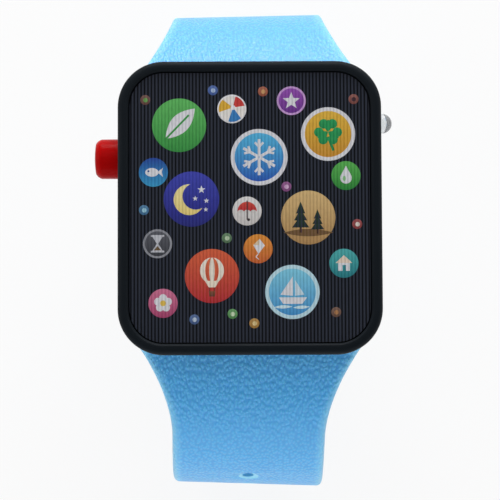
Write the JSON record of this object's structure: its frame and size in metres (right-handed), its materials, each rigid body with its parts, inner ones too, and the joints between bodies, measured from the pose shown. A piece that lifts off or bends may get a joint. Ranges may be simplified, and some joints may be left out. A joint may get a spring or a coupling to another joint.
{
  "type": "toy wrist watch",
  "caption": "Child's toy smart watch: black rounded case with a ribbed picture screen, red side button, clear side lamp, rear speaker and cells, and a curled buckle strap.",
  "frame": {"origin": "middle of the case's flat back", "axes": "+Z out of the screen, +Y towards twelve o'clock, +X towards the lamp side"},
  "size_m": [0.0445, 0.0734, 0.0589],
  "materials": {
    "case_black": "satin moulded",
    "screen_sheet": "ribbed gloss",
    "tape": "matte",
    "board": "satin",
    "resin": "gloss",
    "board_part": "matte",
    "switch_black": "matte",
    "plunger_white": "matte",
    "button_red": "gloss",
    "lamp_clear": "clear gloss",
    "steel": "brushed",
    "cone_paper": "matte",
    "magnet": "plain",
    "foam": "matte",
    "wire_red": "satin",
    "wire_black": "satin",
    "cell_steel": "bright",
    "contact_brass": "bright",
    "strap_blue": "soft leather grain",
    "buckle_blue": "gloss"
  },
  "bodies": {
    "case": {"front_case": "case_black", "rear_cover": "case_black", "lenticular_screen": "screen_sheet", "screen_tape": "tape", "main_board": "board", "chip_blob": "resin", "board_parts": "board_part", "button_switch": "switch_black", "led_lamp": "lamp_clear", "led_leads": "steel", "speaker_frame": "steel", "speaker_cone": "cone_paper", "speaker_magnet": "magnet", "speaker_gasket": "foam", "speaker_wires": "wire_red", "button_cells": "cell_steel", "spring_contacts": "contact_brass", "battery_wires": "wire_black", "case_screws": "steel", "spring_bars": "steel"},
    "button": {"push_button": "button_red", "switch_plunger": "plunger_white"},
    "strap_upper": {"strap_upper": "strap_blue"},
    "strap_lower": {"strap_lower": "strap_blue"},
    "keeper": {"keeper_loop": "strap_blue"},
    "buckle": {"buckle_frame": "buckle_blue", "buckle_bar": "steel"},
    "tongue": {"buckle_tongue": "buckle_blue"},
    "battery_door": {"battery_door": "case_black", "door_screws": "steel", "door_contacts": "contact_brass"}
  },
  "joints": [
    {"name": "button_press", "type": "slide", "parent": "case", "child": "button", "axis": [1, 0, 0], "range_m": [0, 0.0008], "stiffness_N_per_m": 1500},
    {"name": "upper_strap_swing", "type": "hinge", "parent": "case", "child": "strap_upper", "pos_m": [0, 0.0189, 0.0038], "axis": [1, 0, 0], "range_deg": [0, 48]},
    {"name": "lower_strap_swing", "type": "hinge", "parent": "case", "child": "strap_lower", "pos_m": [0, -0.0189, 0.0038], "axis": [-1, 0, 0], "range_deg": [0, 40]},
    {"name": "keeper_slide", "type": "hinge", "parent": "strap_upper", "child": "keeper", "pos_m": [0, 0.00058, -0.01458], "axis": [1, 0, 0], "range_deg": [-9, 5]},
    {"name": "buckle_swing", "type": "hinge", "parent": "strap_upper", "child": "buckle", "pos_m": [0, 0.01135, -0.04418], "axis": [1, 0, 0], "range_deg": [-50, 60]},
    {"name": "tongue_swing", "type": "hinge", "parent": "buckle", "child": "tongue", "pos_m": [0, 0.01135, -0.04418], "axis": [1, 0, 0], "range_deg": [0, 100]},
    {"name": "battery_door_lift", "type": "slide", "parent": "case", "child": "battery_door", "axis": [0, 0, -1], "range_m": [0, 0.012]}
  ]
}
